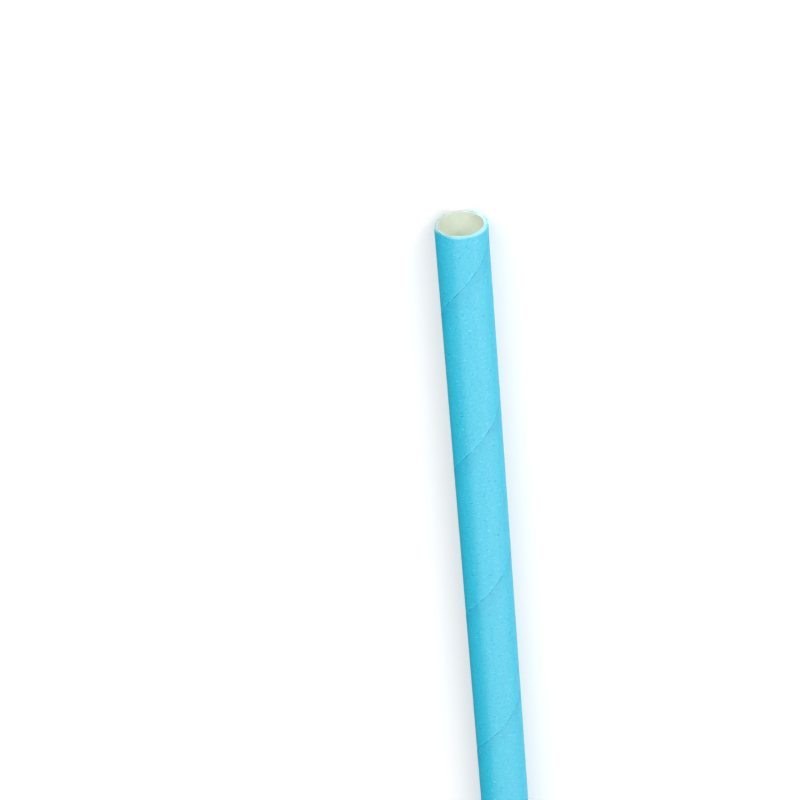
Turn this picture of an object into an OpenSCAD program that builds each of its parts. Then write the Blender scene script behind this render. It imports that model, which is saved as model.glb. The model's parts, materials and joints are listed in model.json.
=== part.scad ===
// Spiral-wound paper drinking straw, cut to length, lying on its side.
// The straw lies along X with its middle over the origin and Z up, and it touches the plane Z = 0.
// Strips of paper are wound on a round mandrel: white strips first, then one coloured strip whose
// two edges meet side by side along a right-handed helix, with a fine open seam between them.

/* [Straw] */
// Length of the cut straw
straw_length = 197; // [120:1:260]
// Diameter of the bore, which is the mandrel's
bore_d = 5.2; // [4:0.1:11]

/* [White plies] */
// Thickness of the white plies, glued together into one wall
core_t = 0.27; // [0.2:0.01:0.5]

/* [Coloured ply] */
// Thickness of the coloured ply
cover_t = 0.13; // [0.1:0.01:0.25]
// Advance of the seam along the straw in one turn
seam_pitch = 21.9; // [15:0.1:40]
// Width of the open seam at its foot, on the white plies, measured round the straw
seam_foot = 0.11; // [0.06:0.01:0.3]
// Width of the open seam at the outside, where winding has pressed the cut edges round
seam_mouth = 0.18; // [0.1:0.01:0.4]
// Turn of the seam about +X, from straight down, at the cut end on the +X side
seam_turn = 280; // [0:1:359]

/* [Hidden] */

core_r = bore_d / 2 + core_t;
cover_r = core_r + cover_t;

// How far a cutting shape runs past the cut ends
past_end = 0.5;
cutter_length = straw_length + 2 * past_end;
// How far the seam's blade runs past the two faces of the coloured ply
past_face = 0.01;
// Steps of the seam's blade in one turn
seam_steps = 30;

white = [0.95, 0.95, 0.91];
sky_blue = [0.36, 0.76, 0.91];

// Lays its children's Z axis along X, with the straw's underside on Z = 0
module lying()
    translate([0, 0, cover_r]) rotate([0, 90, 0]) children();

// A tube about Z between two radii, of the straw's length
module tube(inner_r, outer_r)
    difference() {
        cylinder(h = straw_length, r = outer_r, center = true, $fn = 96);
        cylinder(h = cutter_length, r = inner_r, center = true, $fn = 96);
    }

// Width of the open seam at a radius
function seam_width(r) = seam_foot + (seam_mouth - seam_foot) * (r - core_r) / cover_t;

// The open seam: a thin blade wound about Z, right-handed, and wider outside than at its foot
module seam_blade() {
    turns = cutter_length / seam_pitch;
    turn_at_start = seam_turn - 360 * (cutter_length - past_end) / seam_pitch;
    inner_r = core_r - past_face;
    // The outer edge is straight in each step, and its middle stays outside the ply too
    outer_r = cover_r / cos(180 / seam_steps) + past_face;
    rotate([0, 0, turn_at_start])
        linear_extrude(height = cutter_length, center = true, twist = -360 * turns,
                slices = ceil(seam_steps * turns))
            polygon([
                [inner_r, -seam_width(inner_r) / 2],
                [outer_r, -seam_width(outer_r) / 2],
                [outer_r, seam_width(outer_r) / 2],
                [inner_r, seam_width(inner_r) / 2]
            ]);
}

// The white strips of the wall, wound first and seen only at the cut ends and in the bore
module white_plies()
    color(white) lying() tube(bore_d / 2, core_r);

// The coloured strip, wound last
module coloured_ply()
    color(sky_blue) lying() difference() {
        tube(core_r, cover_r);
        seam_blade();
    }

white_plies();
coloured_ply();
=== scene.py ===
"""A spiral-wound paper drinking straw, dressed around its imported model, in metres."""
import json
import math
import bpy
from mathutils import Matrix, Vector, noise


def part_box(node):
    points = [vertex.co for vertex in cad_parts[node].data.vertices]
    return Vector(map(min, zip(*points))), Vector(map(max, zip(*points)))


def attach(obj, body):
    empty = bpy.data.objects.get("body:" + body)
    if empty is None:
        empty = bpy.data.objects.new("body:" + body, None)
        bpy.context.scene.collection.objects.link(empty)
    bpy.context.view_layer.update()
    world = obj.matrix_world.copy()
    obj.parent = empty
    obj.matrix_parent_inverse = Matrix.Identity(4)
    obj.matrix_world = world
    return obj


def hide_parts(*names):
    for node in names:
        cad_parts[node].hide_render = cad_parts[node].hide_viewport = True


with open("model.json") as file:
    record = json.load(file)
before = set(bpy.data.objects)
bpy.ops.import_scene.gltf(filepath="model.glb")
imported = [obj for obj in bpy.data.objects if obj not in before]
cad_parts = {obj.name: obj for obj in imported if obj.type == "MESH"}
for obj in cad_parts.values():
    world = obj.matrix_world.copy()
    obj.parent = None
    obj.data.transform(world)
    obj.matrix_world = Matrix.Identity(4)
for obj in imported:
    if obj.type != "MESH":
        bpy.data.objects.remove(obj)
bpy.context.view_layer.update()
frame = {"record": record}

# Coloured ply
# The last strip of paper, dyed pale blue, with a faint satin gloss. It is wound right-handed over the white
# plies and glued down, and its two cut edges meet side by side along a helix, where the under plies show at
# the foot of a fine dark line; its walls and foot are painted blue, partly dye and glue and partly painted
# shade. A blade has cut the wound tube square at both ends.

# The straw lies along X with the mouth that the camera sees at +X, and +Y is on the left in the picture
MM = 0.001
ply_low, ply_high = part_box("coloured_ply")
core_low, core_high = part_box("white_plies")
half_length = (ply_high.x - ply_low.x) / 2
straw_r = (ply_high.z - ply_low.z) / 2
core_r = (core_high.z - core_low.z) / 2
axis_z = (ply_high.z + ply_low.z) / 2
ply_t = straw_r - core_r

seam_pitch = 21.9 * MM
seam_turn_at_mouth = math.radians(280)
seam_lead = math.atan(2 * math.pi * straw_r / seam_pitch)
strip_width = 2 * math.pi * straw_r * math.cos(seam_lead)
# Width of a wide open seam at its foot and at the outside; this one opens to a share of that, which varies
seam_foot = 0.05 * MM
seam_mouth = 0.12 * MM

# Each octave of the noise is this much weaker and finer than the one before
octave_fall = 1.0
octave_step = 2.0


def around(x, turn, radius):
    """The point at a turn about the straw's axis, counted from straight down by way of +Y."""
    return Vector((x, radius * math.sin(turn), axis_z - radius * math.cos(turn)))


def turn_of(point):
    """The turn of a point about the straw's axis, counted in the same way, from minus to plus half a turn."""
    return math.atan2(point.y, axis_z - point.z)


def seam_turn(x):
    """The turn at which the seam crosses the straw at x."""
    return seam_turn_at_mouth + 2 * math.pi * (x - half_length) / seam_pitch


def hump(distance, width):
    """A smooth hump: 1 in its middle, and fading out within about a width on both sides."""
    return math.exp(-(distance / width) ** 2)


def rough(point, size, octaves=3):
    """Smooth noise from about -1 to 1 with humps of a size, at a point of the straw."""
    return noise.fractal(point / size, octave_fall, octave_step, octaves)


def pressed(x, turn):
    """How far the face stands off the true round: cockle, an inner seam's print, and its own two edges."""
    place = around(x, turn, straw_r)
    across = ((turn - seam_turn(x)) % (2 * math.pi)) / (2 * math.pi) * strip_width
    broad_cockle = 0.008 * MM * rough(place, 3.2 * MM)
    fine_cockle = 0.003 * MM * rough(place, 0.9 * MM)
    inner_seam = 0.46 * strip_width
    seam_print = -0.012 * MM * hump(across - inner_seam, 0.30 * MM)
    raised_lip = 0.016 * MM * hump(across, 0.28 * MM)
    tucked_edge = -0.010 * MM * hump(strip_width - across, 0.45 * MM)
    return broad_cockle + fine_cockle + seam_print + raised_lip + tucked_edge


def round_the_rim(x, turn, shift=0.0):
    """Smooth noise round a cut end; it differs at the two ends, and with the shift."""
    circle = 2
    end_offset = math.copysign(3, x)
    return rough(Vector((end_offset + shift, circle * math.sin(turn), circle * math.cos(turn))), 1.0)


def end_crush(x, turn):
    """How far the blade has pressed the wall in or out close to a cut end."""
    from_end = half_length - abs(x)
    wave_reach = 0.6 * MM
    wave = 0.050 * MM * round_the_rim(x, turn) * math.exp(-from_end / wave_reach)
    crease_at = 0.28 * MM
    crease_width = 0.11 * MM
    crease = 0.080 * MM * max(0.1 + round_the_rim(x, turn, shift=5), 0)
    return wave - crease * hump(from_end - crease_at, crease_width)


def dye_dragged(point):
    """How much dye the blade has dragged over a cut end at a point, from 0 to 1."""
    turn = turn_of(point)
    most_dyed = math.radians(200)
    share = 0.52 + 0.52 * math.cos(turn - most_dyed) + 0.30 * round_the_rim(point.x, turn, shift=13)
    return min(max(share, 0), 1)


def folded_over(point):
    """How far the blade has folded the coloured ply over its cut edge at a point, from 0 to 1."""
    middle = math.radians(128 if point.x > 0 else -60)
    fold_width = math.radians(24)
    return hump(turn_of(point) - middle, fold_width)


def cut_back(x, turn, radius):
    """How far the torn fibres of a cut end stand back from its plane."""
    place = around(math.copysign(half_length, x), turn, radius)
    tufts = 0.035 * rough(place, 0.8 * MM, octaves=4)
    fibre_ends = 0.020 * rough(place, 0.2 * MM, octaves=2)
    return MM * (0.035 + tufts + fibre_ends)


# How far the rows of points close to a cut end lie from it, and where in them the blade has rounded the
# outer corner and worn the dye off
rim_steps = (0, 0.02 * MM, 0.05 * MM, 0.10 * MM, 0.18 * MM, 0.26 * MM, 0.34 * MM, 0.48 * MM)
rim_drop = {0: 0.030 * MM, 0.02 * MM: 0.012 * MM, 0.05 * MM: 0.003 * MM}
rim_wear = {0: 1.0, 0.02 * MM: 0.9, 0.05 * MM: 0.75, 0.10 * MM: 0.5, 0.18 * MM: 0.12}


def stations(step):
    """Places along the straw: the rows close to each cut end, and about a step apart between them."""
    inner = half_length - rim_steps[-1]
    count = math.ceil(2 * inner / step)
    middle = [-inner + 2 * inner * i / count for i in range(count + 1)]
    rim = [half_length - s for s in rim_steps[:-1]]
    return [-x for x in rim] + middle + rim[::-1]


def rim_step(x):
    """The distance from the cut end of the row at x, or None where x isn't in such a row."""
    from_end = half_length - abs(x)
    same_place = 1e-7
    return next((s for s in rim_steps[:-1] if abs(from_end - s) < same_place), None)


def bridge(faces, rings, turned=False):
    """Joins each ring, a dict of key to vertex, to the next, with a face between each two keys both have."""
    for ring_a, ring_b in zip(rings, rings[1:]):
        keys_a = sorted(ring_a)
        keys_b = sorted(ring_b)
        shared = sorted(set(keys_a) & set(keys_b))
        for start, stop in zip(shared, shared[1:]):
            side_a = [ring_a[k] for k in keys_a if start <= k <= stop]
            side_b = [ring_b[k] for k in keys_b if start <= k <= stop]
            face = side_a + side_b[::-1]
            faces.append(face[::-1] if turned else face)


def add_mark(mesh, name, values):
    """Gives each point of a mesh a value, which its material reads by name."""
    mesh.attributes.new(name, "FLOAT", "POINT").data.foreach_set("value", values)


def new_piece(name, points, faces, sheet, cut, material):
    """A smooth mesh object whose points know their place in the sheet of paper and on a cut end."""
    crisp_edge = math.radians(50)
    mesh = bpy.data.meshes.new(name)
    mesh.from_pydata([tuple(p) for p in points], [], faces)
    places = mesh.attributes.new("sheet", "FLOAT_VECTOR", "POINT")
    places.data.foreach_set("vector", [c for p in sheet for c in p])
    add_mark(mesh, "cut_end", cut)
    add_mark(mesh, "dyed", [dye_dragged(point) if on_cut else 0.0 for point, on_cut in zip(points, cut)])
    mesh.validate()
    mesh.shade_smooth()
    mesh.set_sharp_from_angle(angle=crisp_edge)
    mesh.materials.append(material)
    piece = bpy.data.objects.new(name, mesh)
    bpy.context.scene.collection.objects.link(piece)
    return piece


def node(tree, kind, **settings):
    """A new node with its settings and its unlinked inputs, which are given by name with _ for a space."""
    made = tree.nodes.new(kind)
    for key, value in settings.items():
        if hasattr(made, key):
            setattr(made, key, value)
        else:
            made.inputs[key.replace("_", " ")].default_value = value
    return made


def put(tree, value, socket):
    """Gives an input socket its value: a number or a colour, or an output socket to link to it."""
    if isinstance(value, bpy.types.NodeSocket):
        tree.links.new(value, socket)
    else:
        socket.default_value = value


def maths(tree, operation, a, b):
    """A Math node; a and b are sockets or numbers."""
    made = node(tree, "ShaderNodeMath", operation=operation)
    put(tree, a, made.inputs[0])
    put(tree, b, made.inputs[1])
    return made.outputs[0]


def times(tree, a, b):
    """The product of a and b, which are sockets or numbers."""
    return maths(tree, "MULTIPLY", a, b)


def ramp(tree, value, low, high, to_low=0.0, to_high=1.0):
    """A smooth step of a value from one level to another."""
    made = node(tree, "ShaderNodeMapRange", interpolation_type="SMOOTHSTEP",
                From_Min=low, From_Max=high, To_Min=to_low, To_Max=to_high)
    tree.links.new(value, made.inputs["Value"])
    return made.outputs["Result"]


def blend(tree, factor, a, b):
    """A Mix node on colours; each of factor, a and b is a socket or a value."""
    made = node(tree, "ShaderNodeMix", data_type="RGBA")
    colour_a, colour_b, colour_out = made.inputs[6], made.inputs[7], made.outputs[2]
    put(tree, factor, made.inputs[0])
    put(tree, a, colour_a)
    put(tree, b, colour_b)
    return colour_out


def attribute(tree, name, output="Fac"):
    """What the points of the mesh carry under a name."""
    return node(tree, "ShaderNodeAttribute", attribute_name=name).outputs[output]


# Both papers are felted from wood fibres: a fine weave of strands, soft clouds where the pulp lay thicker,
# and here and there a pale fleck or a small pit
fibres = bpy.data.node_groups.new("paper_fibres", "ShaderNodeTree")
fibres.interface.new_socket("Sheet", in_out="INPUT", socket_type="NodeSocketVector")
for output in ("Strands", "Clouds", "Flecks", "Pits", "Height"):
    fibres.interface.new_socket(output, in_out="OUTPUT", socket_type="NodeSocketFloat")
sheet_in = fibres.nodes.new("NodeGroupInput").outputs["Sheet"]
group_out = fibres.nodes.new("NodeGroupOutput")


def marks(scale, detail, roughness, offset, low, high):
    """A mask from noise over the sheet, with humps of about 1 / scale mm: 0 below low and 1 above high."""
    moved = node(fibres, "ShaderNodeVectorMath", operation="ADD")
    moved.inputs[1].default_value = (offset, offset, offset)
    fibres.links.new(sheet_in, moved.inputs[0])
    texture = node(fibres, "ShaderNodeTexNoise", Scale=scale, Detail=detail, Roughness=roughness)
    fibres.links.new(moved.outputs[0], texture.inputs["Vector"])
    return ramp(fibres, texture.outputs["Fac"], low, high)


# The strands lie in three directions; each has an angle in degrees and an offset of its own
strand_scale = (1.9, 10.0, 10.0)
strands = None
for angle, offset in ((8, 0), (58, 40), (-47, 80)):
    laid = node(fibres, "ShaderNodeMapping", Rotation=(0, 0, math.radians(angle)),
                Location=(offset, offset, 0), Scale=strand_scale)
    fibres.links.new(sheet_in, laid.inputs["Vector"])
    lay = node(fibres, "ShaderNodeTexNoise", Scale=1.0, Detail=2.0, Roughness=0.55, Distortion=0.35)
    fibres.links.new(laid.outputs[0], lay.inputs["Vector"])
    strand = ramp(fibres, lay.outputs["Fac"], low=0.42, high=0.68)
    strands = strand if strands is None else maths(fibres, "MAXIMUM", strands, strand)
clouds = marks(scale=0.75, detail=4.0, roughness=0.55, offset=11, low=0.30, high=0.70)
grain = marks(scale=6.0, detail=3.0, roughness=0.6, offset=23, low=0.25, high=0.75)
flecks = marks(scale=2.6, detail=1.0, roughness=0.5, offset=37, low=0.675, high=0.775)
pits = marks(scale=2.7, detail=1.0, roughness=0.5, offset=53, low=0.665, high=0.755)
strand_share = 0.6
grain_share = 0.4
fleck_height = 0.6
weave = maths(fibres, "ADD", times(fibres, strands, strand_share), times(fibres, grain, grain_share))
raised = maths(fibres, "ADD", weave, times(fibres, flecks, fleck_height))
height = maths(fibres, "SUBTRACT", raised, pits)
made_fibres = {"Strands": weave, "Clouds": clouds, "Flecks": flecks, "Pits": pits, "Height": height}
for output, value in made_fibres.items():
    fibres.links.new(value, group_out.inputs[output])


def paper(name, roughness, fibre_depth):
    """A paper material with its fibres in relief: returns it, its node tree, its shader and its fibres."""
    material = bpy.data.materials.new(name)
    material.use_nodes = True
    tree = material.node_tree
    shader = tree.nodes["Principled BSDF"]
    shader.inputs["Roughness"].default_value = roughness
    weave_of = tree.nodes.new("ShaderNodeGroup")
    weave_of.node_tree = fibres
    tree.links.new(attribute(tree, "sheet", "Vector"), weave_of.inputs["Sheet"])
    bump = node(tree, "ShaderNodeBump", Strength=1.0, Distance=fibre_depth)
    tree.links.new(weave_of.outputs["Height"], bump.inputs["Height"])
    tree.links.new(bump.outputs["Normal"], shader.inputs["Normal"])
    return material, tree, shader, weave_of.outputs


blue_paper, tree, shader, weave_of = paper("blue_paper", roughness=0.6, fibre_depth=0.026 * MM)
shader.inputs["Specular IOR Level"].default_value = 0.05
shader.inputs["Coat IOR"].default_value = 2.1
shader.inputs["Coat Roughness"].default_value = 0.45
blue = (0.012, 0.500, 0.705, 1)
blue_thick = (0.005, 0.422, 0.630, 1)
blue_thin = (0.024, 0.580, 0.770, 1)
fleck_blue = (0.16, 0.78, 0.97, 1)
# The darker blue painted into each pit as its shade
pit_shade_blue = (0.004, 0.32, 0.52, 1)
# The pale blue of the painted highlight along the tucked edge
tuck_highlight_blue = (0.09, 0.70, 0.92, 1)
# The darker blue of the seam's walls: partly dye on the cut edges, partly painted shade in the groove
dye_and_shade_in_seam = (0.008, 0.430, 0.650, 1)
cut_dyed = (0.34, 0.78, 0.86, 1)
cut_pale = (0.81, 0.88, 0.83, 1)
cloud_share = 0.35
fleck_share = 0.6
pit_shade_share = 0.7
pit_dulling = 0.6

# How far across the strip from the seam's raised lip, and how deep in the ply, a point lies
place = node(tree, "ShaderNodeSeparateXYZ")
tree.links.new(attribute(tree, "sheet", "Vector"), place.inputs[0])
across_mm = place.outputs["Y"]
deep_mm = place.outputs["Z"]
strip_width_mm = strip_width / MM

colour = blend(tree, weave_of["Strands"], blue_thick, blue_thin)
colour = blend(tree, times(tree, weave_of["Clouds"], cloud_share), colour, blue)
colour = blend(tree, times(tree, weave_of["Flecks"], fleck_share), colour, fleck_blue)
# Each pit is painted a darker blue, as painted shade in the pit
colour = blend(tree, times(tree, weave_of["Pits"], pit_shade_share), colour, pit_shade_blue)
# Painted shade beside the seam's raised lip, in patches: strongest close to the lip and gone 2.4 mm across
shade_beside_lip = ramp(tree, across_mm, low=0.2, high=2.4, to_low=0.65, to_high=0.0)
shade_patches = ramp(tree, weave_of["Clouds"], low=0.0, high=1.0, to_low=0.5, to_high=1.0)
colour = blend(tree, times(tree, shade_beside_lip, shade_patches), colour, blue_thick)
# A painted highlight along the tucked edge, broken up by the strands
tuck_starts = strip_width_mm - 0.34
tuck_ends = strip_width_mm - 0.08
highlight_near_tuck = ramp(tree, across_mm, tuck_starts, tuck_ends, to_low=0.0, to_high=0.5)
tuck_highlight = times(tree, highlight_near_tuck, ramp(tree, weave_of["Strands"], low=0.40, high=0.75))
colour = blend(tree, tuck_highlight, colour, tuck_highlight_blue)
on_cut = attribute(tree, "cut_end")
off_cut = maths(tree, "SUBTRACT", 1.0, on_cut)
inside_seam = times(tree, ramp(tree, deep_mm, low=0.004, high=0.03), off_cut)
# The seam's walls are painted darker: partly dye on the cut edges, partly painted shade in the groove
colour = blend(tree, inside_seam, colour, dye_and_shade_in_seam)
# The dye has worn off the cut ends, where the blade hasn't dragged it along
worn = times(tree, on_cut, ramp(tree, weave_of["Strands"], low=0.1, high=0.6, to_low=0.88, to_high=1.0))
cut_colour = blend(tree, attribute(tree, "dyed"), cut_pale, cut_dyed)
colour = blend(tree, worn, colour, cut_colour)
tree.links.new(colour, shader.inputs["Base Color"])

# The satin gloss is a coat, weaker on a face that turns away and between the strands, and missing on the cut
# ends, inside the seam and in most of each pit
turned_away = node(tree, "ShaderNodeLayerWeight", Blend=0.5).outputs["Facing"]
satin = ramp(tree, turned_away, low=0.20, high=0.60, to_low=1.0, to_high=0.55)
satin = times(tree, satin, off_cut)
on_strands = ramp(tree, weave_of["Strands"], low=0.0, high=0.9, to_low=0.7, to_high=1.0)
satin = times(tree, satin, on_strands)
dull = maths(tree, "MAXIMUM", inside_seam, times(tree, weave_of["Pits"], pit_dulling))
satin = times(tree, satin, maths(tree, "SUBTRACT", 1.0, dull))
tree.links.new(satin, shader.inputs["Coat Weight"])

# Points across the face, of which only each fourth is there away from the cut ends, and each sixteenth
# underneath; they crowd together towards the seam
columns = 320
body_skip = 4
hidden_skip = 16
crowding = 0.72
# The levels down a cut edge: how deep each is in the ply, and how far the edge has left its rounded corner
levels = ((0, 0), (0.10, 0.55), (0.35, 0.80), (0.65, 0.93), (1, 1))
last_level = len(levels) - 1
end_key = 2 * (columns + last_level)
round_edge = 0.020 * MM
# How much of the white of a cut edge is hidden where it is folded over
fold_cover = 0.85
# How far the seam stands open along its way, as a share of its full width
usual_gape = 0.13
gape_swing = 1.6
least_gape = 0.02
most_gape = 0.7
gape_length = 1.1 * MM


def column_and_level(key):
    """Where a key of the ply's ring lies: over the face, down one cut edge, back under, and up the other."""
    if key <= columns:
        return key, 0
    if key < columns + last_level:
        return columns, key - columns
    if key <= 2 * columns + last_level:
        return 2 * columns + last_level - key, last_level
    return 0, end_key - key


def ply_point(x, key, back):
    """The point of the ply for a key at x, stood back from a cut end, and its place in the sheet in mm."""
    column, level = column_and_level(key)
    depth, shoulder = levels[level]
    place_along = (seam_turn(x) * straw_r) / math.sin(seam_lead)
    wander = noise.fractal(Vector((place_along / gape_length, 0, 0)), octave_fall, octave_step, 3)
    gape = min(max(usual_gape + gape_swing * wander, least_gape), most_gape)
    half_gap = (seam_mouth + (seam_foot - seam_mouth) * depth) / 2 * gape
    half_gap += round_edge * (0.25 + 0.75 * gape) * (1 - shoulder)
    t = column / columns
    even = t - crowding / (2 * math.pi) * math.sin(2 * math.pi * t)
    gap_turn = half_gap / straw_r
    turn = seam_turn(x) + gap_turn + even * (2 * math.pi - 2 * gap_turn)
    radius = straw_r - depth * ply_t + (1 - depth) * pressed(x, turn) + end_crush(x, turn)
    at = around(x, turn, radius)
    if back:
        at.x -= math.copysign(cut_back(x, turn, radius), x)
    across = even * strip_width / MM
    return at, (place_along / MM, across, depth * ply_t / MM)


ply_points, ply_sheet, ply_cut, ply_faces = [], [], [], []


def add_ply_point(at, where, cut):
    """Adds one point of the ply, with its place in the sheet and on a cut end, and returns its number."""
    ply_points.append(at)
    ply_sheet.append(where)
    ply_cut.append(cut * (1 - fold_cover * folded_over(at)))
    return len(ply_points) - 1


face_keys = list(range(0, columns + 1))
edge_keys = list(range(columns + 1, columns + last_level))
under_keys = list(range(columns + last_level, 2 * columns + last_level + 1))
other_edge_keys = list(range(2 * columns + last_level + 1, end_key))
rings = []
for x in stations(step=0.45 * MM):
    step = rim_step(x)
    face = face_keys if step is not None else face_keys[::body_skip]
    under = under_keys if step == 0 else under_keys[::hidden_skip]
    ring = {}
    for key in face + edge_keys + under + other_edge_keys:
        on_face = key <= columns
        wear = rim_wear.get(step, 0.0) if on_face else float(step == 0)
        drop = rim_drop.get(step, 0.0) if on_face else 0.0
        at, where = ply_point(x, key, step == 0)
        if drop:
            at = at - drop * Vector((0, at.y, at.z - axis_z)).normalized()
        ring[key] = add_ply_point(at, where, wear)
    ring[end_key] = ring[0]
    rings.append(ring)
bridge(ply_faces, rings)

for ring, x in ((rings[0], -half_length), (rings[-1], half_length)):
    layers = [{c: ring[c] for c in face_keys}]
    for level in range(1, last_level):
        layer = {0: ring[end_key - level], columns: ring[columns + level]}
        depth = levels[level][0]
        for c in range(1, columns):
            at, where = ply_point(x, c, False)
            turn = turn_of(at)
            radius = straw_r - depth * ply_t + end_crush(x, turn)
            at = around(x - math.copysign(cut_back(x, turn, radius), x), turn, radius)
            layer[c] = add_ply_point(at, (where[0], where[1], depth * ply_t / MM), 1)
        layers.append(layer)
    layers.append({c: ring[2 * columns + last_level - c] for c in face_keys})
    bridge(ply_faces, layers, turned=x > 0)

coloured_ply = new_piece("coloured_ply_dressed", ply_points, ply_faces, ply_sheet, ply_cut, blue_paper)
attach(coloured_ply, "root")
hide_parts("coloured_ply")

# White plies
# The strips wound first on the mandrel and glued into one wall, off-white and uncoated. They show in the
# bore, as the wide pale part of each cut rim, and at the foot of the seam, where they are painted blue:
# partly a stain of dye and glue, partly painted shade in the seam's groove.
bore_r = next(m["dims"]["r_mm"] for m in frame["record"]["mounts"] if m["name"] == "bore") * MM
white_paper, tree, shader, weave_of = paper("white_paper", roughness=0.62, fibre_depth=0.014 * MM)
shader.inputs["Specular IOR Level"].default_value = 0.35
cream = (0.86, 0.92, 0.79, 1)
cream_thick = (0.81, 0.89, 0.75, 1)
cream_thin = (0.88, 0.95, 0.83, 1)
cut_pale = (0.75, 0.84, 0.77, 1)
cut_dyed = (0.34, 0.78, 0.83, 1)
# The seam's foot is painted this blue, partly a stain of dye and glue, partly painted shade in the groove
stain_and_shade_blue = (0.018, 0.44, 0.64, 1)
cloud_share = 0.5
colour = blend(tree, weave_of["Strands"], cream_thick, cream_thin)
colour = blend(tree, times(tree, weave_of["Clouds"], cloud_share), colour, cream)
cut_colour = blend(tree, attribute(tree, "dyed"), cut_pale, cut_dyed)
colour = blend(tree, attribute(tree, "cut_end"), colour, cut_colour)
# Blue at the seam's foot, partly stain and partly painted shade, and where the blue ply folds over a cut end
colour = blend(tree, attribute(tree, "stain_and_shade"), colour, stain_and_shade_blue)
tree.links.new(colour, shader.inputs["Base Color"])

core_columns = 320
core_points, core_sheet, core_cut, core_stain_and_shade, core_faces = [], [], [], [], []


def burr(x, turn, radius):
    """How far the blade has pushed the bore's edge inwards at a cut end, most where the blade came out."""
    blade_out = math.radians(250 if x > 0 else 60)
    tab_turn = math.radians(174 if x > 0 else 130)
    tab_width = math.radians(10)
    tab = 0.08 * hump(turn % (2 * math.pi) - tab_turn, tab_width)
    most = 0.050 + 0.040 * math.cos(turn - blade_out) + 0.030 * round_the_rim(x, turn, shift=9) + tab
    least = 0.01
    share = (core_r - radius) / (core_r - bore_r)
    reach = 0.22 * MM
    return MM * max(most, least) * share * math.exp(-(half_length - abs(x)) / reach)


def add_core_point(x, turn, radius, on_end, stain_and_shade):
    """Adds one point of the white wall and returns its number; on a cut end, folded blue paper stains it."""
    cockle = 0.006 * MM * rough(around(x, turn, radius), 1.5 * MM) if radius < core_r else 0
    at = around(x, turn, radius + end_crush(x, turn) + cockle - burr(x, turn, radius))
    if on_end:
        at.x -= math.copysign(cut_back(x, turn, radius), x)
        under_fold = max((radius - bore_r) / (core_r - bore_r) - 0.5, 0) * 2
        stain_and_shade = 0.8 * under_fold * folded_over(at)
    core_points.append(at)
    core_sheet.append(tuple(at / MM))
    core_cut.append(float(on_end))
    core_stain_and_shade.append(stain_and_shade)
    return len(core_points) - 1


def core_ring(x, radius, skip, on_end, stain_and_shade):
    """One ring of the white wall, closed by its first point."""
    ring = {}
    for c in range(0, core_columns, skip):
        ring[c] = add_core_point(x, 2 * math.pi * c / core_columns, radius, on_end, stain_and_shade)
    ring[core_columns] = ring[0]
    return ring


def core_wall(radius, stain_and_shade, turned):
    """The bore or the outside of the white wall, with stain and painted shade away from its ends;
    returns the two end rings.
    """
    plain_near_end = 0.1 * MM
    rings = []
    for x in stations(step=0.9 * MM):
        step = rim_step(x)
        skip = body_skip if step is None else 1
        stain_and_shade_here = stain_and_shade if half_length - abs(x) > plain_near_end else 0.0
        rings.append(core_ring(x, radius, skip, step == 0, stain_and_shade_here))
    bridge(core_faces, rings, turned)
    return rings[0], rings[-1]


bore_ends = core_wall(bore_r, stain_and_shade=0.0, turned=True)
# The outside of the white wall shows only at the seam's foot, painted blue there: stain and painted shade
outside_ends = core_wall(core_r, stain_and_shade=1.0, turned=False)
for bore_end, outside_end, x in zip(bore_ends, outside_ends, (-half_length, half_length)):
    layers = [outside_end]
    for share in (0.9, 0.7, 0.5, 0.3, 0.1):
        layers.append(core_ring(x, bore_r + share * (core_r - bore_r), skip=1, on_end=True, stain_and_shade=0.0))
    layers.append(bore_end)
    bridge(core_faces, layers, turned=x > 0)

white_plies = new_piece("white_plies_dressed", core_points, core_faces, core_sheet, core_cut, white_paper)
add_mark(white_plies.data, "stain_and_shade", core_stain_and_shade)
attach(white_plies, "root")
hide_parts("white_plies")

# Floor
# A plain white floor under the straw. For the camera it glows: a quarter of white near the straw, which
# lightens the straw's shadow there, and fully further off, where it fades into pure white. It throws much
# light back at the straw's right side and little at its left.
floor_reach = 3.0
floor_mesh = bpy.data.meshes.new("floor")
corners = [(sx * floor_reach, sy * floor_reach, 0) for sx, sy in ((-1, -1), (1, -1), (1, 1), (-1, 1))]
floor_mesh.from_pydata(corners, [], [(0, 1, 2, 3)])
floor = bpy.data.objects.new("floor", floor_mesh)
bpy.context.scene.collection.objects.link(floor)
floor_material = bpy.data.materials.new("floor_card")
floor_material.use_nodes = True
tree = floor_material.node_tree
shader = tree.nodes["Principled BSDF"]
shader.inputs["Roughness"].default_value = 0.9
shader.inputs["Specular IOR Level"].default_value = 0.0
black = (0, 0, 0, 1)
white = (1, 1, 1, 1)
shown_card = (0.97, 0.97, 0.97, 1)
fade_from = 0.17
fade_to = 0.42
faded_near = 0.25
card_right = 0.95
card_left = 0.12
card_change = 0.004


def seen_directly(tree):
    """1 for a ray from the camera, straight or through something clear, and 0 for light between things."""
    ray = tree.nodes.new("ShaderNodeLightPath")
    return maths(tree, "MAXIMUM", ray.outputs["Is Camera Ray"], ray.outputs["Is Transmission Ray"])


seen = seen_directly(tree)
spot = tree.nodes.new("ShaderNodeTexCoord").outputs["Object"]
from_middle = node(tree, "ShaderNodeVectorMath", operation="LENGTH")
tree.links.new(spot, from_middle.inputs[0])
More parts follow.
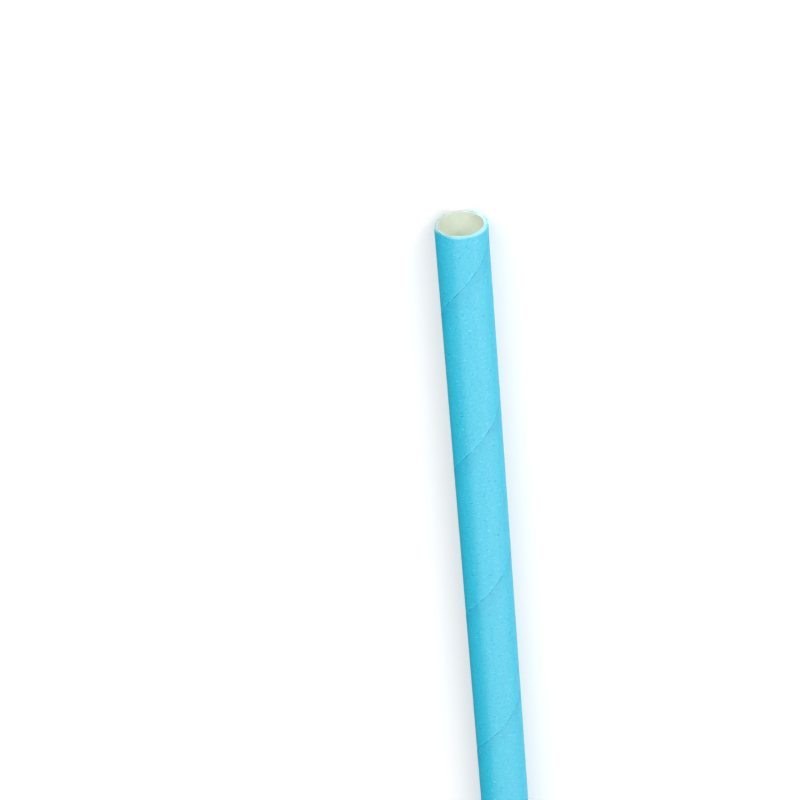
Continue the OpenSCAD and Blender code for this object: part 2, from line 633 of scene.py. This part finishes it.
# For the camera the floor glows: a quarter of white near the straw, lightening its shadow, fully further off
faded = times(tree, seen, ramp(tree, from_middle.outputs["Value"], fade_from, fade_to, to_low=faded_near))
sideways = node(tree, "ShaderNodeSeparateXYZ")
tree.links.new(spot, sideways.inputs[0])
side_card = ramp(tree, sideways.outputs["Y"], -card_change, card_change, to_low=card_right, to_high=card_left)
thrown = node(tree, "ShaderNodeCombineColor")
for channel in thrown.inputs[:3]:
    tree.links.new(side_card, channel)
card = blend(tree, seen, thrown.outputs[0], shown_card)
tree.links.new(blend(tree, faded, card, black), shader.inputs["Base Color"])
shader.inputs["Emission Strength"].default_value = 1.0
tree.links.new(blend(tree, faded, black, white), shader.inputs["Emission Color"])
floor_mesh.materials.append(floor_material)

# Light
# A broad soft lamp high up beyond the far end, two small ones that shine into the mouth from the left and the
# right, a low one on each side, of which the left one makes no gloss, and a dim surround that shows white.
world = bpy.data.worlds.new("surround")
world.use_nodes = True
bpy.context.scene.world = world
tree = world.node_tree
background = tree.nodes["Background"]
dim = (0.19, 0.19, 0.19, 1)
tree.links.new(blend(tree, seen_directly(tree), dim, white), background.inputs["Color"])
mouth = Vector((half_length, 0, axis_z))


def lamp(name, from_mouth, size, share, glossy=True):
    """A square soft lamp that lights a white card at the mouth to a share of white, with or without gloss."""
    data = bpy.data.lights.new(name, "AREA")
    data.shape = "SQUARE"
    data.size = size
    place = mouth + Vector(from_mouth)
    away = place - mouth
    data.energy = share * math.pi ** 2 * away.length_squared
    made = bpy.data.objects.new(name, data)
    made.location = place
    made.rotation_euler = away.to_track_quat("Z", "Y").to_euler()
    made.visible_camera = False
    made.visible_glossy = glossy
    bpy.context.scene.collection.objects.link(made)


lamp("key", (-0.45, -0.02, 0.86), size=1.5, share=0.80)
lamp("front_left", (0.50, 0.36, 0.38), size=0.45, share=0.60)
lamp("front_right", (0.50, -0.36, 0.38), size=0.45, share=0.58)
lamp("side", (-0.20, 0.95, 0.22), size=0.40, share=0.28, glossy=False)
lamp("low", (-0.50, -0.95, 0.34), size=1.1, share=0.37)

# Camera
# It looks down on the straw's mouth as the photograph does: the straw's near end faces it, 58.5 degrees off
# the line of sight, and the other end runs away towards the bottom of the picture and past its edge.
frame_px = 800
focal_px = 2853
mouth_px = (461, 224)
mouth_width_px = 54.4
straw_way = Vector((0.0772, -0.819, -0.574)).normalized()
up_from_floor = (Vector((0, 0, 1)) - straw_way.z * straw_way).normalized()
to_world = Matrix((-straw_way, up_from_floor.cross(-straw_way), up_from_floor))
distance = focal_px * 2 * straw_r / mouth_width_px
middle_px = frame_px / 2
sight = Vector(((mouth_px[0] - middle_px) / focal_px, (middle_px - mouth_px[1]) / focal_px, -1))
camera_data = bpy.data.cameras.new("camera")
camera_data.sensor_width = 36
camera_data.lens = focal_px / frame_px * camera_data.sensor_width
camera = bpy.data.objects.new("camera", camera_data)
camera.matrix_world = Matrix.Translation(mouth - to_world @ (sight * distance)) @ to_world.to_4x4()
bpy.context.scene.collection.objects.link(camera)
bpy.context.scene.camera = camera
bpy.context.scene.view_settings.view_transform = "Standard"
